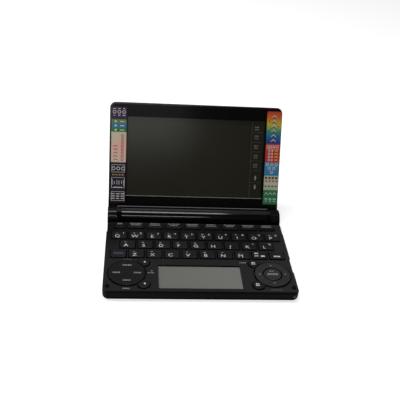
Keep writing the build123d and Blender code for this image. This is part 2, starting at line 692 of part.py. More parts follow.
with BuildPart() as lid_back_cover:
    with BuildSketch(Plane.XY.offset(lid_outer)) as lid_plan:
        with Locations((0, (lid_foot + lid_length) / 2)):
            Rectangle(lid_width, lid_length - lid_foot)
        fillet(lid_plan.vertices().group_by(Axis.Y)[-1], lid_corner_radius)
    extrude(amount=lid_thickness)
    back_edges = lid_back_cover.edges().group_by(Axis.Z)[0]
    fillet(back_edges.group_by(Axis.Y)[1:], lid_back_radius)
    rim_edges = lid_back_cover.edges().group_by(Axis.Z)[-1]
    fillet(rim_edges.group_by(Axis.Y)[1:], lid_rim_radius)
    # knuckles, each with a web up to the lid
    for side in (-1, 1):
        with BuildSketch(Plane.YZ.offset(side * knuckle_inner_x)):
            Circle(barrel_radius)
            Polygon((0, lid_inner), (0, -barrel_radius), (lid_foot, lid_outer),
                    (lid_sill, lid_outer), (lid_sill, lid_inner), align=None)
        extrude(amount=side * knuckle_length)
    with BuildSketch(Plane.YZ):
        Circle(lid_barrel_radius)
    extrude(amount=knuckle_inner_x, both=True, mode=Mode.SUBTRACT)
    for side in (-1, 1):
        with Locations((side * knuckle_inner_x, 0, 0)):
            Cylinder(pin_radius + pin_running_clearance,
                     2 * (pin_outer_x + pin_end_gap - knuckle_inner_x),
                     rotation=(0, 90, 0), mode=Mode.SUBTRACT)
    # pocket for the display, then the shallower seat of the bezel
    seat_half = lid_width / 2 - lid_rim
    with BuildSketch(Plane.XY.offset(lid_floor)) as pocket:
        with Locations((0, (lid_sill + lid_length - lid_rim) / 2)):
            Rectangle(2 * seat_half, lid_length - lid_rim - lid_sill)
        fillet(pocket.vertices().group_by(Axis.Y)[-1], lid_corner_radius - lid_rim)
    extrude(amount=-lid_floor, mode=Mode.SUBTRACT)
    with BuildSketch(Plane.XY.offset(bezel_back)):
        with Locations((0, lid_sill)):
            Rectangle(2 * knuckle_inner_x, 2 * (lid_sill - lid_foot))
    extrude(amount=bezel_thickness, mode=Mode.SUBTRACT)
    with BuildSketch(Plane.XY.offset(lid_floor)):
        with Locations(*lid_posts):
            Circle(lid_post_radius)
    extrude(amount=bezel_back - lid_floor)
pieces.append(("lid_back_cover", lid_back_cover, "lid"))

# ---------------------------------------------------------------- lid: bezel with its chin

with BuildPart() as lid_bezel:
    bezel_half = lid_width / 2 - lid_rim - bezel_clearance
    bezel_end = lid_length - lid_rim - bezel_clearance
    chin_half = knuckle_inner_x - chin_end_gap
    with BuildSketch(Plane.XY.offset(bezel_back)) as bezel_plan:
        with Locations((0, (lid_sill + bezel_end) / 2)):
            Rectangle(2 * bezel_half, bezel_end - lid_sill)
        fillet(bezel_plan.vertices().group_by(Axis.Y)[-1],
               lid_corner_radius - lid_rim - bezel_clearance)
        with Locations((0, lid_sill)):
            Rectangle(2 * chin_half, 2 * (lid_sill - lid_foot))
    extrude(amount=bezel_thickness)
    # the chin curls forward over the barrel
    with BuildSketch(Plane.YZ):
        Circle(chin_radius)
        with Locations((lid_foot + chin_radius / 2, (bezel_back - chin_tip) / 2)):
            Rectangle(chin_radius, -chin_tip - bezel_back, mode=Mode.INTERSECT)
    extrude(amount=chin_half, both=True)
    with BuildSketch(Plane.YZ):
        Circle(lid_barrel_radius)
    extrude(amount=chin_half, both=True, mode=Mode.SUBTRACT)
    with BuildSketch(Plane.XY.offset(bezel_back)):
        with Locations((0, window_from_hinge + window_length / 2)):
            RectangleRounded(window_width, window_length, window_corner)
    extrude(amount=bezel_thickness, mode=Mode.SUBTRACT)
pieces.append(("lid_bezel", lid_bezel, "lid"))

with BuildPart() as main_display:
    with BuildSketch(Plane.XY.offset(lid_floor)):
        with Locations((0, window_from_hinge + window_length / 2)):
            Rectangle(window_width + 2 * display_margin, window_length + 2 * display_margin)
    extrude(amount=bezel_back - lid_floor)
pieces.append(("main_display", main_display, "lid"))

# ---------------------------------------------------------------- stand the pieces and write them

# The deck tips forward until the feet are flat on the desk; the lid leans back at its angle.
lean = radians(lid_angle)
lid_plane = Plane(origin=(0, hinge_y, hinge_z), x_dir=(1, 0, 0),
                  z_dir=(0, -sin(lean), -cos(lean)))
on_desk = desk.location.inverse()
stands = {"base": on_desk, "lid": on_desk * lid_plane.location}

# the origin is on the desk under the middle of the open unit
placed = [(name, builder.part.moved(stands[body])) for name, builder, body in pieces]
boxes = [shape.bounding_box() for _, shape in placed]
front = min(box.min.Y for box in boxes)
back = max(box.max.Y for box in boxes)
to_origin = Location((0, -(front + back) / 2, 0))

for name, shape in placed:
    shape = shape.moved(to_origin)
    shape.label = name
    export_step(shape, f"parts/{name}.step")
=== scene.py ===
# Pocket electronic dictionary, open on a desk: a black clamshell with a keyboard, two round pads
# and a pale touch panel in its base, a round battery barrel for a hinge, and a screen in its lid.
import json
from math import cos, pi, radians, sin

import bmesh
import bpy
from mathutils import Matrix, Vector


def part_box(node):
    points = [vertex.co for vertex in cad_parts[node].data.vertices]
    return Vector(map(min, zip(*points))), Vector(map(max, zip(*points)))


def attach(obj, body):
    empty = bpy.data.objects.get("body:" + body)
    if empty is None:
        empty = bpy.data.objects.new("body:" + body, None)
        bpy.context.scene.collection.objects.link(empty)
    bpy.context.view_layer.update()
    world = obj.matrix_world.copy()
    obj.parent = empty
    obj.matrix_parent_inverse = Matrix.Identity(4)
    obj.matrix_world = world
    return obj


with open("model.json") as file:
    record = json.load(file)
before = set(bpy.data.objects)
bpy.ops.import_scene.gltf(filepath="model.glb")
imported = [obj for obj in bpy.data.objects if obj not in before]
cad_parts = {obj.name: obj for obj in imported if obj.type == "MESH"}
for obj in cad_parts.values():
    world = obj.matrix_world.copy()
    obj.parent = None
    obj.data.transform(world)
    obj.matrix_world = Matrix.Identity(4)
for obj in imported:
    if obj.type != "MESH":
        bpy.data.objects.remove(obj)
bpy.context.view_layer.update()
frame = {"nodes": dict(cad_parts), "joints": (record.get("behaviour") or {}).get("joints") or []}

# ---------------------------------------------------------------- desk, lamps and camera
# The unit stands on a plain white desk under a long lamp overhead and to the left, with a
# narrow strip and a weak window behind the user. The camera looks down from the user's side.
desk_top, reach = -0.00005, 4
corners = ((-reach, -reach), (reach, -reach), (reach, reach), (-reach, reach))
desk_mesh = bpy.data.meshes.new("desk")
desk_mesh.from_pydata([(x, y, desk_top) for x, y in corners], [], [(0, 1, 2, 3)])
desk = bpy.data.objects.new("desk", desk_mesh)
bpy.context.scene.collection.objects.link(desk)

# the deck slopes down to its front edge, the middle of which is at this y and z
deck_tilt = radians(2.37465)
deck_front, deck_height = -0.072212, 0.008462


class Signal:
    """A socket among a finish's nodes. Arithmetic on signals adds Math nodes."""

    def __init__(self, socket):
        self.socket = socket

    def node(self, kind, settings, inputs, out=0):
        """Adds a node: its settings first, then the values or links of its sockets."""
        made = self.socket.id_data.nodes.new("ShaderNode" + kind)
        for key, value in settings.items():
            if key == "stops":
                stops = made.color_ramp.elements
                for i, (position, colour) in enumerate(value):
                    stop = stops[i] if i < 2 else stops.new(position)
                    stop.position = position
                    stop.color = (*colour, 1)
            else:
                setattr(made, key, value)
        for key, value in inputs.items():
            if isinstance(value, Signal):
                value.feeds(made.inputs[key])
            else:
                made.inputs[key].default_value = value
        return Signal(made.outputs[out])

    def feeds(self, socket):
        self.socket.id_data.links.new(self.socket, socket)

    def math(self, operation, first, second):
        return self.node("Math", {"operation": operation}, {0: first, 1: second})

    def mix(self, without, whole):
        """A colour that goes from one to the other as this mask goes from 0 to 1."""
        return self.node("Mix", {"data_type": "RGBA"}, {0: self, 6: without, 7: whole}, out=2)

    def noise(self, scale, detail):
        return self.node("TexNoise", {}, {"Vector": self, "Scale": scale, "Detail": detail})

    def axis(self, index):
        return self.node("SeparateXYZ", {}, {0: self}, out=index)

    def step(self, low, high):
        """0 below low, 1 above high, smooth between them."""
        return self.node("MapRange", {"interpolation_type": "SMOOTHSTEP"},
                         {"Value": self, "From Min": low, "From Max": high})

    def above_deck(self):
        """Metres above the deck's top, square to its slope."""
        return ((self.axis(2) - deck_height) * cos(deck_tilt)
                - (self.axis(1) - deck_front) * sin(deck_tilt))

    def painted_lid_shade(self):
        """How far painted shade of the lid darkens the plastic: 0 by the hands, 1 by the lid, and
        less at the right.
        """
        back = self.axis(1).step(-0.0373, 0.0027)
        right = self.axis(0).step(0.040, 0.072)
        return back * (1 - 0.75 * right)

    def bump(self, distance, strength):
        return self.node("Bump", {}, {"Height": self, "Distance": distance, "Strength": strength})

    def __add__(self, other):
        return self.math("ADD", self, other)

    def __sub__(self, other):
        return self.math("SUBTRACT", self, other)

    def __rsub__(self, other):
        return self.math("SUBTRACT", other, self)

    def __mul__(self, other):
        return self.math("MULTIPLY", self, other)

    def __mod__(self, other):
        return self.math("FLOORED_MODULO", self, other)

    def __gt__(self, other):
        return self.math("GREATER_THAN", self, other)

    __radd__ = __add__
    __rmul__ = __mul__


def new_finish(name, **constants):
    """A node material; its shader's constants are set on their sockets."""
    made = bpy.data.materials.new(name)
    made.use_nodes = True
    shader = made.node_tree.nodes["Principled BSDF"]
    for key, value in constants.items():
        shader.inputs[key.replace("_", " ").title().replace("Ior", "IOR")].default_value = value
    place = Signal(made.node_tree.nodes.new("ShaderNodeTexCoord").outputs["Object"])
    return made, shader.inputs, place


desk_finish, into, place = new_finish("desk_white", roughness=0.9, specular_ior_level=0.1,
                                      emission_strength=1.0)
grain = place.noise(60.0, 4.0)
grain.mix((0.70, 0.70, 0.70, 1), (0.74, 0.74, 0.74, 1)).feeds(into["Base Color"])
# a glow that only the camera, gloss and glass see makes the desk white and doesn't light the unit
seen = desk_finish.node_tree.nodes.new("ShaderNodeLightPath").outputs
direct = (Signal(seen["Is Camera Ray"]) + Signal(seen["Is Glossy Ray"])
          + Signal(seen["Is Transmission Ray"])) > 0.5
direct.mix((0.0, 0.0, 0.0, 1), (0.62, 0.62, 0.62, 1)).feeds(into["Emission Color"])
desk_mesh.materials.append(desk_finish)

# the camera sees a white room; the unit is lit by grey walls, which are paler near the desk
world = bpy.data.worlds.new("studio")
bpy.context.scene.world = world
world.use_nodes = True
backdrop = world.node_tree.nodes["Background"]
looking = Signal(world.node_tree.nodes.new("ShaderNodeTexCoord").outputs["Generated"])
height = looking.axis(2)
walls = height.node("ValToRGB", {"stops": [(0.0, (0.40, 0.40, 0.40)), (0.06, (0.40, 0.40, 0.40)),
                                           (0.20, (0.14, 0.14, 0.14)), (1.0, (0.11, 0.11, 0.11))]},
                    {0: height})
seen = world.node_tree.nodes.new("ShaderNodeLightPath").outputs
direct = (Signal(seen["Is Camera Ray"]) + Signal(seen["Is Transmission Ray"])) > 0.5
direct.mix(walls, (1.0, 1.0, 1.0, 1)).feeds(backdrop.inputs["Color"])

for name, at, lean, width, depth, power in (
        ("lamp_over", (-0.48, 0.10, 1.35), 0.0, 1.4, 0.26, 14.0),
        ("lamp_strip", (-0.23, -0.88, 0.89), 45.0, 0.76, 0.10, 3.2),
        ("lamp_window", (-0.08, -1.30, 0.72), 62.0, 0.40, 0.34, 0.44)):
    lamp = bpy.data.lights.new(name, "AREA")
    lamp.shape = "RECTANGLE"
    lamp.size, lamp.size_y = width, depth
    lamp.energy = power
    hung = bpy.data.objects.new(name, lamp)
    hung.location = at
    hung.rotation_euler = (radians(lean), 0, 0)
    bpy.context.scene.collection.objects.link(hung)

camera_data = bpy.data.cameras.new("camera")
camera_data.sensor_width = 36.0
camera_data.lens = 58.25
camera = bpy.data.objects.new("camera", camera_data)
camera.location = (-0.05352, -0.438215, 0.321226)
camera.rotation_euler = (radians(57.787), radians(-4.3452), radians(-4.333))
bpy.context.scene.collection.objects.link(camera)
bpy.context.scene.camera = camera
bpy.context.scene.view_settings.view_transform = "Standard"

# ---------------------------------------------------------------- lower cover with the barrel
# Injection moulded black plastic, satin along the case and polished round the battery barrel,
# which the hand sees and touches. The door under the barrel is moulded in the same plastic.
case_black, into, place = new_finish("case_black", specular_ior_level=0.01, coat_roughness=0.08)
along = place.axis(1)
# the barrel is polished between the lid's knuckles; a band along its top is painted paler, a
# painted sheen
round_the_cells = 1 - (place.axis(0) * place.axis(0)).step(0.0615 ** 2, 0.0625 ** 2)
polished = along.step(0.0174, 0.0178) * round_the_cells
painted_top_sheen = along.step(0.0206, 0.0215) * (1 - along.step(0.0246, 0.0262))
skin = place.noise(2600.0, 3.0)
smears = place.noise(70.0, 3.0)
# the underside is painted paler, a painted fill light where no lamp reaches it
painted_fill_below = 1 - place.above_deck().step(-0.0078, -0.0070)
moulded = painted_fill_below.mix(skin.mix((0.0013, 0.0013, 0.0014, 1), (0.0020, 0.0020, 0.0022, 1)),
                        (0.0100, 0.0102, 0.0106, 1))
bright = polished.mix(moulded, (0.0008, 0.0008, 0.0009, 1))
painted_top_sheen.mix(bright, (0.0165, 0.0168, 0.0170, 1)).feeds(into["Base Color"])
(0.42 + 0.12 * smears).feeds(into["Roughness"])
(polished * (0.46 - 0.12 * smears)).feeds(into["Coat Weight"])
(skin * (1.05 - polished)).bump(0.00004, 0.5).feeds(into["Normal"])


def dress(finish, *nodes):
    """Gives CAD nodes a finish."""
    for node in nodes:
        for held in frame["nodes"][node].material_slots:
            held.material = finish


dress(case_black, "base_bottom_cover", "battery_cover")

# ---------------------------------------------------------------- deck
# The upper cover is the same black plastic with a fine spark-eroded grain, grey on top. Painted
# light makes it paler at the right, and painted shade darkens it towards the lid. Labels are
# printed on it in pale grey and dull blue ink.
deck_grey, into, place = new_finish("deck_grey", specular_ior_level=0.05, coat_roughness=0.38)
# only the deck's top has the grain and the grey, stopping short of its rounded front edge; its
# walls and that edge are darkened to black, a painted shade
grained_unshaded = place.above_deck().step(-0.0005, 0.0) * place.axis(1).step(-0.0714, -0.0702)
sparks = place.noise(3800.0, 2.0)
shades = place.noise(45.0, 4.0)
grey_tone = shades.mix((0.0125, 0.0128, 0.0128, 1), (0.0163, 0.0167, 0.0166, 1))
# painted light makes the deck paler towards the right, and painted shade darkens it towards the lid
painted_light_right = (place.axis(0).step(0.012, 0.068) * 0.8).mix(grey_tone, (0.0225, 0.0230, 0.0228, 1))
top = place.painted_lid_shade().mix(painted_light_right, (0.0036, 0.0037, 0.0038, 1))
grained_unshaded.mix((0.0014, 0.0014, 0.0015, 1), top).feeds(into["Base Color"])
(0.46 + 0.10 * shades + 0.06 * sparks).feeds(into["Roughness"])
(grained_unshaded * (0.28 - 0.16 * place.painted_lid_shade())).feeds(into["Coat Weight"])
(sparks * grained_unshaded).bump(0.00006, 0.6).feeds(into["Normal"])
dress(deck_grey, "base_top_cover")

deck = Matrix.Translation((0, deck_front, deck_height)) @ Matrix.Rotation(deck_tilt, 4, "X")


def flat_shape(mesh, points, low, high):
    """Adds a thin plate with this outline, in millimetres, between two heights."""
    rings = [[mesh.verts.new((x / 1000, y / 1000, z / 1000)) for x, y in points]
             for z in (low, high)]
    mesh.faces.new(rings[1])
    mesh.faces.new(rings[0][::-1])
    for i, below in enumerate(rings[0]):
        after = (i + 1) % len(points)
        mesh.faces.new((below, rings[0][after], rings[1][after], rings[1][i]))


def bar(x, y, width, depth):
    """The outline of an upright rectangle about its middle."""
    return [(x - width / 2, y - depth / 2), (x + width / 2, y - depth / 2),
            (x + width / 2, y + depth / 2), (x - width / 2, y + depth / 2)]


def disc(x, y, radius, sides=24):
    return [(x + radius * cos(2 * pi * i / sides), y + radius * sin(2 * pi * i / sides))
            for i in range(sides)]


def printed_words(x, y, lengths, depth):
    """A label too small to read: a row of short blocks with narrow gaps, about its middle."""
    gap = 0.35
    left = x - (sum(lengths) + gap * (len(lengths) - 1)) / 2
    blocks = []
    for length in lengths:
        blocks.append(bar(left + length / 2, y, length, depth))
        left += length + gap
    return blocks


def add_piece(name, body, finish, stand, shapes):
    """One piece of finished shapes, stood in its frame and riding on a body."""
    mesh = bpy.data.meshes.new(name)
    shapes.to_mesh(mesh)
    shapes.free()
    mesh.materials.append(finish)
    piece = bpy.data.objects.new(name, mesh)
    piece.matrix_world = stand
    bpy.context.scene.collection.objects.link(piece)
    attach(piece, body)
    return piece


def ink_piece(name, body, finish, stand, outlines, level, depth=0.02):
    """One print made of many outlines, just above the face that carries it."""
    shapes = bmesh.new()
    for points in outlines:
        flat_shape(shapes, points, level, level + depth)
    add_piece(name, body, finish, stand, shapes)


def ink(name, colour, worn):
    """Screen-printed ink: nearly flat, with only this share of its colour where it has worn."""
    made, into, place = new_finish(name, roughness=0.55, specular_ior_level=0.3)
    thin = place.noise(1500.0, 2.0)
    thin.mix((*(worn * c for c in colour), 1), (*colour, 1)).feeds(into["Base Color"])
    thin.bump(0.00001, 0.4).feeds(into["Normal"])
    return made


grey_ink = ink("grey_ink", (0.255, 0.255, 0.245), 0.6)
blue_ink = ink("blue_ink", (0.072, 0.077, 0.120), 0.6)

on_deck = 0.01
# two lines of words behind each menu key, one word behind the power key, and words by the pads
first_menu_key, menu_pitch = -49.9, 15.83
upper_words = ((1.8, 2.0, 1.0, 2.4, 1.4), (1.4, 2.0, 1.8, 1.2), (2.0, 0.8, 2.6, 1.0, 1.8))
lower_words = ((2.2, 1.2, 2.4, 1.4), (1.6, 1.2, 2.2, 1.0, 1.4), (1.6, 2.6, 1.4))
menu_labels = []
for i in range(8):
    x = first_menu_key + menu_pitch * i
    menu_labels += printed_words(x, 84.0, upper_words[i % 3], 1.0)
    menu_labels += printed_words(x, 82.1, lower_words[i % 3], 0.95)
menu_labels += printed_words(-63.2, 83.3, (1.8, 1.8), 1.5)
for x, y, lengths in ((-56.5, 4.1, (1.4, 2.2, 1.0)), (-38.2, 21.9, (1.6, 1.2, 1.4)),
                      (-37.4, 24.2, (1.2,)), (34.6, 35.0, (1.0, 2.2, 1.4))):
    menu_labels += printed_words(x, y, lengths, 1.1)
ink_piece("menu_labels", "base", grey_ink, deck, menu_labels, on_deck)
ink_piece("blue_labels", "base", blue_ink, deck,
          printed_words(56.5, 3.9, (1.4, 2.0, 1.6, 2.2), 1.3)
          + printed_words(-56.0, 37.1, (2.0, 1.4, 2.4), 1.0), on_deck)

# ---------------------------------------------------------------- keys
# Forty-odd moulded caps, grey on top, their sides darkened to black as painted shade. The letter
# keys have a white capital and most a small second sign above it or at the top right. The shift key
# is dark blue, the menu keys are black.
key_finishes = []
# in the painted shade by the lid a cap is as dark as this, unless it is darker everywhere
lid_shade_colour = (0.0044, 0.0045, 0.0046, 1)
for name, low, high, top in (
        ("key_grey", (0.0108, 0.0110, 0.0113, 1), (0.0150, 0.0154, 0.0157, 1), 0.00088),
        ("key_blue", (0.0104, 0.0108, 0.0130, 1), (0.0134, 0.0139, 0.0165, 1), 0.00088),
        ("key_dark", (0.0016, 0.0021, 0.0019, 1), (0.0026, 0.0032, 0.0030, 1), 0.00088),
        ("pad_grey", (0.0075, 0.0080, 0.0078, 1), (0.0110, 0.0118, 0.0114, 1), 0.00073),
        ("ring_grey", (0.0205, 0.0205, 0.0205, 1), (0.0375, 0.0375, 0.0375, 1), 0.00073)):
    made, into, place = new_finish(name, specular_ior_level=0.08, coat_roughness=0.30)
    # only the top of a cap keeps its colour; its sides are darkened to black, a painted shade in
    # the gaps
    unshaded_top = place.above_deck().step(top - 0.00016, top - 0.00002)
    touched = place.noise(120.0, 3.0)
    pores = place.noise(4200.0, 2.0)
    lid_shaded = [min(pair) for pair in zip(low, lid_shade_colour)]
    paint = place.painted_lid_shade().mix(touched.mix(low, high), lid_shaded)
    unshaded_top.mix((0.0010, 0.0010, 0.0011, 1), paint).feeds(into["Base Color"])
    (0.34 + 0.16 * touched + 0.05 * pores).feeds(into["Roughness"])
    (unshaded_top * (0.25 + 0.15 * touched - 0.12 * place.painted_lid_shade())).feeds(into["Coat Weight"])
    pores.bump(0.00003, 0.5).feeds(into["Normal"])
    key_finishes.append(made)
key_grey, key_blue, key_dark, pad_grey, ring_grey = key_finishes
for node in frame["nodes"]:
    if node.startswith("key_") and node != "key_mat":
        dress(key_dark if "menu" in node or "power" in node else key_grey, node)
dress(pad_grey, "left_pad")
dress(ring_grey, "cursor_ring", "key_enter")
dress(key_blue, "key_shift")

white_ink = ink("white_ink", (0.80, 0.80, 0.78), 0.8)
to_deck = deck.inverted()


def middle_of(node):
    """The middle of a CAD node's top, in millimetres on the deck."""
    low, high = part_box(node)
    return to_deck @ ((low + high) / 2) * 1000


def lettering(name, body, finish, stand, signs, level):
    """Printed characters: (character, x, y, cap height, stretch) each, in millimetres."""
    # a capital is this share of its font's size, and its strokes are thinned by this share
    cap_share, thinned, half_depth = 0.7, 0.004, 0.00001
    shapes = bmesh.new()
    for character, x, y, cap, stretch in signs:
        font = bpy.data.curves.new("sign", "FONT")
        font.body = character
        font.size = cap / cap_share / 1000
        font.offset = -thinned * font.size
        font.extrude = half_depth
        font.align_x = "CENTER"
        font.resolution_u = 3
        drawn = bpy.data.objects.new("sign", font)
        mesh = bpy.data.meshes.new_from_object(drawn)
        mesh.transform(Matrix.Translation((x / 1000, (y - cap / 2) / 1000,
                                           level / 1000 + half_depth))
                       @ Matrix.Diagonal((stretch, 1, 1, 1)))
        shapes.from_mesh(mesh)
        bpy.data.objects.remove(drawn)
        bpy.data.curves.remove(font)
        bpy.data.meshes.remove(mesh)
    add_piece(name, body, finish, stand, shapes)


cap_top = 0.91
signs_beside = dict(zip("qwertyuiopkl", "1234567890+%"))
signs_above = dict(zip("qwertyuiopasdfgzxvbnm", "-^-^-=-^-=*====~^^=^~"))
for letter in "qwertyuiopasdfghjklzxcvbnm":
    middle = middle_of("key_" + letter)
    signs = [(letter.upper(), middle.x - 1.4, middle.y - 1.3, 3.4, 1.12)]
    if letter in signs_beside:
        signs.append((signs_beside[letter], middle.x + 3.4, middle.y + 2.4, 1.9, 1.35))
    if letter in signs_above:
        signs.append((signs_above[letter], middle.x - 2.0, middle.y + 2.3, 1.7, 1.6))
    lettering("print_" + letter, "key_" + letter, white_ink, deck, signs, cap_top)

middle = middle_of("key_shift")
ink_piece("print_shift", "key_shift", blue_ink, deck,
          printed_words(middle.x, middle.y, (1.6, 2.0, 1.6, 1.2), 2.0), cap_top)
middle = middle_of("key_dash")
ink_piece("print_dash", "key_dash", white_ink, deck,
          [bar(middle.x - 2.6, middle.y - 1.0, 3.2, 0.7)]
          + printed_words(middle.x - 2.4, middle.y + 2.2, (1.2, 1.4), 1.3)
          + printed_words(middle.x + 2.6, middle.y - 1.2, (1.3, 1.3), 1.5), cap_top)
middle = middle_of("key_back")
ink_piece("print_back", "key_back", white_ink, deck,
          printed_words(middle.x, middle.y - 1.2, (1.6, 1.2, 1.6), 1.25), cap_top)

# ---------------------------------------------------------------- round pads and their keys
# Two round rockers of the same satin plastic: the left one has four printed labels, the right
# one four small arrows round the enter key. Each is held on a plain white gimbal ring.
pivot_white, into, place = new_finish("pivot_white", roughness=0.45, specular_ior_level=0.4)
flow = place.noise(300.0, 2.0)
flow.mix((0.45, 0.45, 0.44, 1), (0.52, 0.52, 0.51, 1)).feeds(into["Base Color"])
dress(pivot_white, "left_pad_gimbal", "cursor_gimbal")

pad_top = 0.76
left = middle_of("left_pad")
pad_labels = []
for x, y, lengths in ((0.0, 8.6, (1.8, 1.4, 1.8, 1.0)), (0.0, -8.6, (1.4, 1.8, 1.8)),
                      (-8.0, 0.0, (1.6, 1.4, 1.8)), (8.0, 0.0, (1.4, 1.8, 1.6))):
    pad_labels += printed_words(left.x + x, left.y + y, lengths, 1.5)
ink_piece("left_pad_labels", "left_pad", grey_ink, deck, pad_labels, pad_top)
ring = middle_of("cursor_ring")
away, tip, tail, half = 10.2, 0.9, 0.6, 0.9
arrows = []
for dx, dy in ((0, 1), (1, 0), (0, -1), (-1, 0)):
    x, y = ring.x + away * dx, ring.y + away * dy
    arrows.append([(x + tip * dx, y + tip * dy),
                   (x - tail * dx - half * dy, y - tail * dy + half * dx),
                   (x - tail * dx + half * dy, y - tail * dy - half * dx)])
ink_piece("cursor_arrows", "cursor_ring", grey_ink, deck, arrows, pad_top)
enter = middle_of("key_enter")
ink_piece("print_enter", "key_enter", grey_ink, deck,
          printed_words(enter.x, enter.y - 0.2, (2.2, 1.2, 1.8, 2.0), 2.2)
          + printed_words(enter.x - 0.5, enter.y + 3.2, (1.8, 1.2), 1.0), cap_top)
for node in ("key_left_lower", "key_left_upper"):
    middle = middle_of(node)
    ink_piece("print_" + node[4:], node, white_ink, deck,
              [disc(middle.x + 0.8, middle.y, 0.75)], cap_top)
for node in ("key_right_lower", "key_right_upper"):
    middle = middle_of(node)
    ink_piece("print_" + node[4:], node, white_ink, deck,
              printed_words(middle.x - 0.8, middle.y + 0.9, (1.1, 1.3), 0.85)
              + printed_words(middle.x - 0.8, middle.y - 0.8, (1.4, 1.0), 0.85), cap_top)

# ---------------------------------------------------------------- painted shade round the windows
# The keys and pads come up through windows in the deck. A fine black outline is painted on the deck
# round each window, a painted shade for the dark gap and the shadow round the key or pad.
gap_shade_black, into, place = new_finish("gap_shade_black", roughness=0.6, specular_ior_level=0.02)
rubbed = place.noise(600.0, 2.0)
rubbed.mix((0.0008, 0.0008, 0.0009, 1), (0.0014, 0.0014, 0.0015, 1)).feeds(into["Base Color"])


def frame_bars(x, y, width, depth, line):
    """A rectangular outline, as four bars."""
    return [bar(x, y - (depth - line) / 2, width, line),
            bar(x, y + (depth - line) / 2, width, line),
            bar(x - (width - line) / 2, y, line, depth - 2 * line),
            bar(x + (width - line) / 2, y, line, depth - 2 * line)]


def part_ring(x, y, radius, line, start, sweep, pieces):
    """A stretch of a ring inside this radius, from one angle on, in degrees."""
    turns = [radians(start + sweep * i / pieces) for i in range(pieces + 1)]
    inner = radius - line
    return ([(x + radius * cos(turn), y + radius * sin(turn)) for turn in turns]
            + [(x + inner * cos(turn), y + inner * sin(turn)) for turn in reversed(turns)])


def half_rings(x, y, radius, line, first=0, pieces=8):
    """A ring, as two half rings."""
    return [part_ring(x, y, radius, line, first, 180, pieces),
            part_ring(x, y, radius, line, first + 180, 180, pieces)]


clearance, edge, pad_edge = 0.2, 0.45, 0.55
round_keys = ("key_enter", "key_left_lower", "key_left_upper", "key_right_lower", "key_right_upper")
gap_shades = []
for node in frame["nodes"]:
    if not node.startswith("key_") or node == "key_mat" or node in round_keys:
        continue
    if "power" in node:
        width, depth = 8.3, 3.8
    elif "menu" in node:
        width, depth = 13.1, 3.8
    else:
        width, depth = 11.9, 8.8
    middle = middle_of(node)
    around = 2 * (clearance + edge)
    gap_shades += frame_bars(middle.x, middle.y, width + around, depth + around, edge)
pad_x, pad_y, pad_radius = 56.2, 21.0, 14.95
side_key_x, side_key_rise, side_key_radius = 43.5, 12.4, 5.35
bite = 51.3
for side in (-1, 1):
    # a side key's window runs into the pad's, and each outline stops where it meets the other
    for start, sweep, pieces in ((150, 240, 40), (61, 58, 10)):
        gap_shades.append(part_ring(pad_x * side, pad_y, pad_radius, pad_edge, start + 90 * side,
                               sweep, pieces))
    for up in (-1, 1):
        towards_pad = -up * (44.3 if side > 0 else 135.7)
        gap_shades.append(part_ring(side_key_x * side, pad_y + side_key_rise * up, side_key_radius,
                               edge, towards_pad + bite, 360 - 2 * bite, 24))
ink_piece("window_gap_shade", "base", gap_shade_black, deck, gap_shades, on_deck)
# a black ring round the enter key's window in the cursor ring, a painted shade
ink_piece("ring_gap_shade", "cursor_ring", gap_shade_black, deck,
          half_rings(pad_x, pad_y, 7.75, pad_edge, pieces=20), pad_top)

# ---------------------------------------------------------------- touch panel
# A pale grey reflective display under a clear touch film, let into the deck between the pads.
# Its cells show as a very fine grid, and its surface is glossy with a faint ripple.
panel_grey, into, place = new_finish("panel_grey", roughness=0.22, specular_ior_level=0.5)
across, along = place.axis(0), place.axis(1)
pitch, cell = 0.00024, 0.00021
grid = ((across % pitch) > cell) + ((along % pitch) > cell)
cells = (0.35 * grid).mix((0.168, 0.172, 0.157, 1), (0.127, 0.130, 0.120, 1))
# the panel is painted paler towards the right, a painted light
panel_painted_light = across.step(-0.035, 0.035)
panel_painted_light.mix(cells, (0.186, 0.186, 0.176, 1)).feeds(into["Base Color"])
place.noise(90.0, 1.0).bump(0.00005, 0.3).feeds(into["Normal"])
dress(panel_grey, "sub_display")

# ---------------------------------------------------------------- what the case holds
# A silicone mat under the keys; the green circuit board with black chips on its underside and
# plated sockets and cell contacts; two cells in metal sleeves; and the lid's turned steel pins.
mat_grey, into, place = new_finish("mat_grey", roughness=0.8, specular_ior_level=0.2)
dust = place.noise(800.0, 3.0)
dust.mix((0.16, 0.16, 0.16, 1), (0.20, 0.20, 0.20, 1)).feeds(into["Base Color"])
dress(mat_grey, "key_mat")

board_green, into, place = new_finish("board_green", specular_ior_level=0.5)
across, along = place.axis(0), place.axis(1)
tracks = (across % 0.0016 > 0.0009) * (along % 0.011 > 0.004)
resist = tracks.mix((0.012, 0.075, 0.024, 1), (0.020, 0.11, 0.035, 1))
# chips hang below the board, the cell contacts stand at its back and the sockets at its left
packages = 1 - place.above_deck().step(-0.00490, -0.00484)
contacts = along.step(0.0135, 0.0145)
sockets = 1 - across.step(-0.0656, -0.0654)
plated = contacts + sockets
plated.mix(packages.mix(resist, (0.0080, 0.0080, 0.0085, 1)),
           (0.36, 0.35, 0.33, 1)).feeds(into["Base Color"])
plated.feeds(into["Metallic"])
(0.40 - 0.08 * tracks).feeds(into["Roughness"])
(tracks * (1 - packages)).bump(0.00003, 0.5).feeds(into["Normal"])
dress(board_green, "main_board")

cell_metal, into, place = new_finish("cell_metal", metallic=1.0)
rolled = place.noise(400.0, 2.0)
rolled.mix((0.50, 0.50, 0.52, 1), (0.62, 0.62, 0.64, 1)).feeds(into["Base Color"])
(0.28 + 0.14 * rolled).feeds(into["Roughness"])
dress(cell_metal, "batteries")

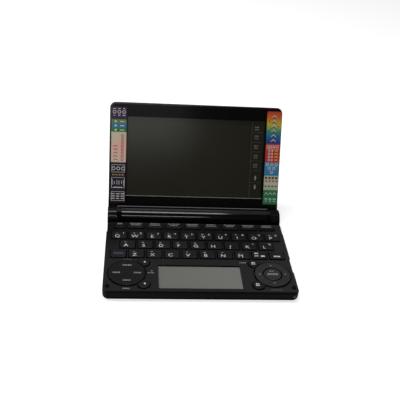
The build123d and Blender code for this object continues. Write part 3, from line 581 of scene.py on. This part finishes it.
pin_steel, into, place = new_finish("pin_steel", metallic=1.0)
turned = place.node("TexWave", {"wave_type": "BANDS", "bands_direction": "X"},
                    {"Vector": place, "Scale": 1800.0, "Distortion": 0.4})
turned.mix((0.42, 0.42, 0.43, 1), (0.58, 0.58, 0.58, 1)).feeds(into["Base Color"])
(0.24 + 0.10 * turned).feeds(into["Roughness"])
dress(pin_steel, "hinge_pins")

# ---------------------------------------------------------------- feet, screws and stylus
# Four rubber feet and two bumpers, punched from sheet; five cross-recess screws from below;
# and a black stylus that slides out of the front of the case.
foot_rubber, into, place = new_finish("foot_rubber", roughness=0.85, specular_ior_level=0.05)
dirt = place.noise(900.0, 4.0)
dirt.mix((0.0030, 0.0030, 0.0030, 1), (0.0075, 0.0073, 0.0070, 1)).feeds(into["Base Color"])
dirt.bump(0.00005, 0.6).feeds(into["Normal"])
dress(foot_rubber, "rubber_feet")

stylus_black, into, place = new_finish("stylus_black", specular_ior_level=0.4)
rubbed = place.noise(260.0, 3.0)
rubbed.mix((0.0070, 0.0070, 0.0074, 1), (0.0115, 0.0115, 0.0120, 1)).feeds(into["Base Color"])
(0.38 + 0.16 * rubbed).feeds(into["Roughness"])
dress(stylus_black, "stylus")

screw_black, into, place = new_finish("screw_black", metallic=1.0)
plating = place.noise(1400.0, 2.0)
plating.mix((0.035, 0.035, 0.038, 1), (0.075, 0.075, 0.08, 1)).feeds(into["Base Color"])
(0.35 + 0.2 * plating).feeds(into["Roughness"])
# four raised quarters of each head, as radius and turn, leave the cross recess between them
quarter_points = ((0.42, 0.0), (1.75, -0.62), (1.85, -0.3), (1.85, 0.3), (1.75, 0.62))
head_radius, head_back, head_face = 1.95, -7.7, -8.0
quarter_back, quarter_face = -7.95, -8.15
screw_heads = bmesh.new()
for x, y in ((-37.9, 20.8), (37.9, 20.8), (0.0, 35.7), (-70.4, 80.2), (70.4, 80.2)):
    flat_shape(screw_heads, disc(x, y, head_radius, 20), head_face, head_back)
    for quarter in range(4):
        points = []
        for radius, turn in quarter_points:
            angle = (quarter + 0.5) * pi / 2 + turn
            points.append((x + radius * cos(angle), y + radius * sin(angle)))
        flat_shape(screw_heads, points, quarter_face, quarter_back)
case_screws = add_piece("case_screws", "base", screw_black, deck, screw_heads)

# ---------------------------------------------------------------- lid
# A polished black back cover and a high-gloss bezel glued into it, which curls over the barrel
# at its foot. The cover's satin rim shows as a thin grey frame round the bezel.
lid_shell, into, place = new_finish("lid_shell", specular_ior_level=0.05, coat_roughness=0.10)
hairlines = place.node("TexWave", {"wave_type": "BANDS", "bands_direction": "DIAGONAL"},
                       {"Vector": place, "Scale": 900.0, "Distortion": 9.0, "Detail": 3.0})
handled = place.noise(55.0, 4.0)
handled.mix((0.0016, 0.0016, 0.0017, 1), (0.0026, 0.0026, 0.0028, 1)).feeds(into["Base Color"])
# the two knuckles at its foot are polished less than the cover above the barrel
outside_the_chin = (place.axis(0) * place.axis(0)).step(0.0663 ** 2, 0.0667 ** 2)
knuckles = place.axis(1).step(0.0165, 0.0180) * outside_the_chin
above_the_barrel = place.axis(2).step(0.0200, 0.0220)
(0.22 * knuckles + 0.6 * above_the_barrel).feeds(into["Coat Weight"])
(0.26 + 0.16 * handled + 0.03 * hairlines).feeds(into["Roughness"])
dress(lid_shell, "lid_back_cover")

bezel_gloss, into, place = new_finish("bezel_gloss", specular_ior_level=0.12)
wiped = place.noise(38.0, 4.0)
motes = place.noise(2600.0, 1.0).step(0.74, 0.80)
motes.mix((0.0016, 0.0017, 0.0018, 1), (0.0120, 0.0120, 0.0120, 1)).feeds(into["Base Color"])
(0.09 + 0.10 * wiped + 0.15 * motes).feeds(into["Roughness"])
dress(bezel_gloss, "lid_bezel")

# ---------------------------------------------------------------- main display
# An unlit liquid crystal panel behind a clear touch film: dark olive and glossy. A column of
# touch marks is printed at its right edge.
screen_dark, into, place = new_finish("screen_dark", specular_ior_level=0.5)
film = place.noise(26.0, 2.0)
film.mix((0.0086, 0.0080, 0.0024, 1), (0.0118, 0.0108, 0.0042, 1)).feeds(into["Base Color"])
(0.13 + 0.06 * film).feeds(into["Roughness"])
film.bump(0.00012, 0.25).feeds(into["Normal"])
dress(screen_dark, "main_display")

# the lid stands at 116 degrees to the deck; its own frame starts on the hinge's axis
hinge = Vector(frame["joints"][0]["pos_m"])
lid = Matrix.Translation(hinge) @ Matrix.Rotation(deck_tilt + radians(180 - 116), 4, "X")
screen_level = -5.79
mark_ink = ink("mark_ink", (0.105, 0.103, 0.092), 0.6)
# a long line parts the column from the picture, and short lines part its seven fields: five have
# two lines of words, and the lowest two an arrow up and an arrow down
upper_words = ((1.6, 1.6), (1.2, 2.2), (2.4, 1.0))
lower_words = ((2.0, 1.2), (1.6, 1.4))
words_x, field_x, field_width = 52.4, 53.2, 8.4
touch_marks = [bar(48.2, 51.8, 0.16, 66.0)]
for y in (75.4, 67.2, 58.6, 50.8, 42.4, 31.8):
    touch_marks.append(bar(field_x, y, field_width, 0.14))
for i, y in enumerate((79.0, 71.4, 62.9, 54.6, 46.6)):
    touch_marks += printed_words(words_x, y + 0.9, upper_words[i % 3], 1.2)
    touch_marks += printed_words(words_x, y - 1.1, lower_words[i % 2], 1.0)
ink_piece("touch_marks", "lid", mark_ink, lid, touch_marks, screen_level)
ink_piece("scroll_marks", "lid", grey_ink, lid,
          [[(52.0, 35.4), (54.2, 35.4), (53.1, 38.2)], bar(53.1, 34.6, 1.0, 1.6),
           [(52.0, 28.2), (53.1, 25.4), (54.2, 28.2)], bar(53.1, 29.0, 1.0, 1.6)], screen_level)

# ---------------------------------------------------------------- decals beside the screen
# Two vinyl strips stuck on the bezel, printed with plain bands of colour, and small rings, bars
# and chevrons in light, red, yellow and dark ink. A pale line is printed under the screen.
on_bezel, vinyl = -4.29, 0.08
on_vinyl = on_bezel + vinyl + 0.002
ink_piece("sill_line", "lid", grey_ink, lid, [bar(0.0, 17.95, 118.2, 0.5)], on_bezel)


def decal(name, middle_x, width, low, high, stops):
    """A thin rounded strip on the bezel; its bands of colour run along it."""
    made, into, place = new_finish(name, roughness=0.34, specular_ior_level=0.15)
    height = place.axis(1)
    along = height.node("MapRange", {}, {"Value": height, "From Min": low / 1000,
                                         "From Max": high / 1000})
    ground = along.node("ValToRGB", {"stops": stops}, {0: along})
    faded = place.noise(420.0, 3.0)
    (0.08 * faded).mix(ground, (0.20, 0.19, 0.18, 1)).feeds(into["Base Color"])
    place.noise(700.0, 2.0).bump(0.00001, 0.4).feeds(into["Normal"])
    corner = 0.8
    left, right = middle_x - width / 2 + corner, middle_x + width / 2 - corner
    outline = []
    for cx, cy, first in ((right, high - corner, 0), (left, high - corner, 90),
                          (left, low + corner, 180), (right, low + corner, 270)):
        for turn in (0, 30, 60, 90):
            angle = radians(first + turn)
            outline.append((cx + corner * cos(angle), cy + corner * sin(angle)))
    ink_piece(name, "lid", made, lid, [outline], on_bezel, depth=vinyl)


def chevron(x, y, width, depth, line):
    """The outline of a chevron that points up the lid."""
    left, right, low, high = x - width / 2, x + width / 2, y - depth / 2, y + depth / 2
    return [(left, low), (x, high - line), (right, low), (right, low + line), (x, high),
            (left, low + line)]


left_x, right_x, strip = -66.0, 66.9, 12.6
light, red, yellow, dark = [], [], [], []
decal("decal_left", left_x, strip, 11.5, 93.0,
      [(0.0, (0.008, 0.005, 0.018)), (0.425, (0.008, 0.005, 0.018)), (0.43, (0.60, 0.47, 0.38)),
       (0.60, (0.66, 0.40, 0.33)), (0.74, (0.50, 0.50, 0.36)), (0.745, (0.03, 0.16, 0.05)),
       (0.785, (0.03, 0.16, 0.05)), (0.79, (0.03, 0.15, 0.30)), (0.83, (0.03, 0.15, 0.30)),
       (0.835, (0.10, 0.20, 0.04)), (0.87, (0.10, 0.20, 0.04)), (0.875, (0.030, 0.018, 0.055)),
       (1.0, (0.030, 0.018, 0.055))])
for i, x in enumerate((-70.0, -66.0, -62.0)):
    light += half_rings(x, 88.9, 1.5, 0.5, 45 * i) + [bar(x, 91.6, 2.6 - 0.5 * i, 0.5)]
    light += [bar(x, 86.0, 1.4 + 0.5 * i, 0.6)]
    light += half_rings(x, 41.0, 1.6, 0.55, 90)
    light += [bar(x - 0.9, 29.2, 0.5, 4.6 - i), bar(x + 0.9, 28.8, 0.5, 2.6 + i)]
    for y in (15.2, 17.2, 19.2):
        light.append(bar(x, y, 2.9, 0.75))
for y in (73.7, 77.3, 80.9):
    light += [disc(-68.8, y, 1.0, 12), bar(-63.4, y, 3.6, 0.8)]
for y, depth in ((41.0, 6.6), (28.8, 9.0), (17.2, 8.0)):
    light += frame_bars(left_x, y, 11.2, depth, 0.3)
light += [bar(left_x, 24.9, 7.6, 0.5)]
yellow += [bar(x, 35.6, 1.6, 0.8) for x in (-70.0, -67.4, -64.8, -62.2)]
for i in range(8):
    y = 48.6 + 2.9 * i
    red += half_rings(-62.9, y, 1.25, 0.55, 30 * i)
    if i < 5:
        red += [chevron(-68.6, y, 3.6, 1.8, 0.7)]
decal("decal_right", right_x, strip, 13.0, 94.0,
      [(0.0, (0.012, 0.15, 0.055)), (0.155, (0.012, 0.15, 0.055)), (0.16, (0.40, 0.40, 0.27)),
       (0.31, (0.42, 0.40, 0.30)), (0.315, (0.02, 0.16, 0.31)), (0.455, (0.04, 0.21, 0.36)),
       (0.46, (0.42, 0.025, 0.020)), (0.655, (0.42, 0.025, 0.020)), (0.66, (0.010, 0.020, 0.15)),
       (0.73, (0.010, 0.10, 0.27)), (0.79, (0.02, 0.22, 0.12)), (0.86, (0.42, 0.36, 0.02)),
       (0.93, (0.50, 0.12, 0.01)), (1.0, (0.38, 0.02, 0.015))])
for i in range(6):
    y = 69.0 + 4.1 * i
    light += [chevron(right_x, y, 4.2, 2.6, 0.8)]
    dark += [chevron(right_x, y - 1.0, 4.6, 2.6, 0.9), disc(63.0 + 7.8 * (i % 2), y, 0.5, 10)]
light += frame_bars(right_x, 63.3, 10.6, 3.4, 0.35)
light += [bar(x, 63.3, 1.5, 1.2) for x in (63.6, 65.8, 68.0, 70.2)]
for i in range(4):
    y = 52.2 + 2.7 * i
    light += half_rings(64.0, y, 1.05, 0.45) + [bar(66.6, y, 1.2, 1.6)]
    yellow += [bar(70.2, y, 2.8, 1.1)]
for x, y in ((63.0, 48.0), (right_x, 48.0), (70.8, 48.0), (64.9, 44.8), (68.9, 44.8),
             (right_x, 41.4)):
    light += half_rings(x, y, 1.3, 0.5)
for i in range(4):
    x = 62.4 + 3.0 * i
    dark += [bar(x, 36.4, 2.0, 1.7), bar(x, 29.0, 1.5, 1.2)]
    red += [bar(x + 0.4, 33.6, 1.7, 1.3)]
light += [bar(right_x, 31.2, 11.0, 0.5)]
for i in range(3):
    x = 63.3 + 3.6 * i
    light += [chevron(x, 22.6, 2.8, 2.6, 0.8), bar(x, 17.8, 2.4, 1.0), bar(x, 15.9, 1.6, 0.7)]
for name, colour, motifs in (("light", (0.56, 0.53, 0.50), light),
                             ("red", (0.34, 0.020, 0.022), red),
                             ("yellow", (0.50, 0.38, 0.04), yellow),
                             ("dark", (0.010, 0.008, 0.014), dark)):
    ink_piece("decal_" + name, "lid", ink("decal_ink_" + name, colour, 0.8), lid, motifs, on_vinyl)
